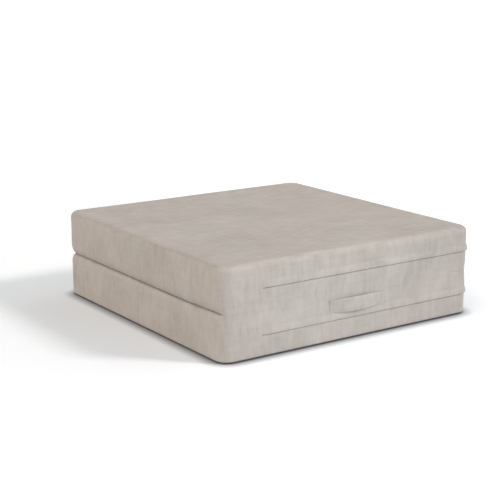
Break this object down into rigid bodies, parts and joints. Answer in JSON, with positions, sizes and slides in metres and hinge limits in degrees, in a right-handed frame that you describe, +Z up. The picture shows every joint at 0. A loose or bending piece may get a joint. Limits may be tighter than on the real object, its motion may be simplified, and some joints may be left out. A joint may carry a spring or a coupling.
{
  "type": "folding futon mattress",
  "caption": "Bi-fold foam guest futon folded in two, with a linen-look zipped cover and a strap handle on the fold face.",
  "frame": {"origin": "on the floor, under the middle of the box round the folded futon", "axes": "+X along the fold line, -Y out of the fold face with the handle, +Z up"},
  "size_m": [1.005, 1.0154, 0.303],
  "materials": {
    "cover_cloth": "matte woven linen-look cloth",
    "core_foam": "open-cell foam",
    "comfort_foam": "soft open-cell foam",
    "zip_tape": "woven tape",
    "zip_coil": "satin",
    "zip_metal": "satin nickel",
    "thread": "matte"
  },
  "bodies": {
    "lower": {"lower_base_panel": "cover_cloth", "lower_boxing": "cover_cloth", "lower_outer_zip_strip": "cover_cloth", "lower_inner_zip_strip": "cover_cloth", "lower_sleep_panel": "cover_cloth", "lower_core_foam": "core_foam", "lower_comfort_foam": "comfort_foam", "lower_zip_tapes": "zip_tape", "lower_zip_coils": "zip_coil", "lower_zip_stops": "zip_metal", "lower_zip_flap": "cover_cloth", "fold_band": "cover_cloth", "handle_strap": "cover_cloth", "handle_stitching": "thread"},
    "upper": {"upper_top_panel": "cover_cloth", "upper_boxing": "cover_cloth", "upper_outer_zip_strip": "cover_cloth", "upper_inner_zip_strip": "cover_cloth", "upper_sleep_panel": "cover_cloth", "upper_core_foam": "core_foam", "upper_comfort_foam": "comfort_foam", "upper_zip_tapes": "zip_tape", "upper_zip_coils": "zip_coil", "upper_zip_stops": "zip_metal", "upper_zip_flap": "cover_cloth"},
    "lower_slider": {"lower_zip_slider": "zip_metal"},
    "lower_pull": {"lower_zip_pull": "zip_metal"},
    "upper_slider": {"upper_zip_slider": "zip_metal"},
    "upper_pull": {"upper_zip_pull": "zip_metal"}
  },
  "joints": [
    {"name": "fold", "type": "hinge", "parent": "lower", "child": "upper", "pos_m": [0, -0.49265, 0.1515], "axis": [1, 0, 0], "range_deg": [0, 180], "deforming": ["fold_band", "handle_strap", "handle_stitching", "lower_zip_flap", "upper_zip_flap"]},
    {"name": "lower_zip_slide", "type": "slide", "parent": "lower", "child": "lower_slider", "axis": [0, -1, 0], "range_m": [0, 0.835], "deforming": ["lower_zip_coils", "lower_zip_flap"]},
    {"name": "lower_pull_hinge", "type": "hinge", "parent": "lower_slider", "child": "lower_pull", "pos_m": [0.49857, 0.39785, 0.079], "axis": [0, 0, 1], "range_deg": [0, 175], "deforming": ["lower_zip_flap"]},
    {"name": "upper_zip_slide", "type": "slide", "parent": "upper", "child": "upper_slider", "axis": [0, -1, 0], "range_m": [0, 0.835], "deforming": ["upper_zip_coils", "upper_zip_flap"]},
    {"name": "upper_pull_hinge", "type": "hinge", "parent": "upper_slider", "child": "upper_pull", "pos_m": [0.49857, 0.39785, 0.226], "axis": [0, 0, 1], "range_deg": [0, 175], "deforming": ["upper_zip_flap"]}
  ]
}
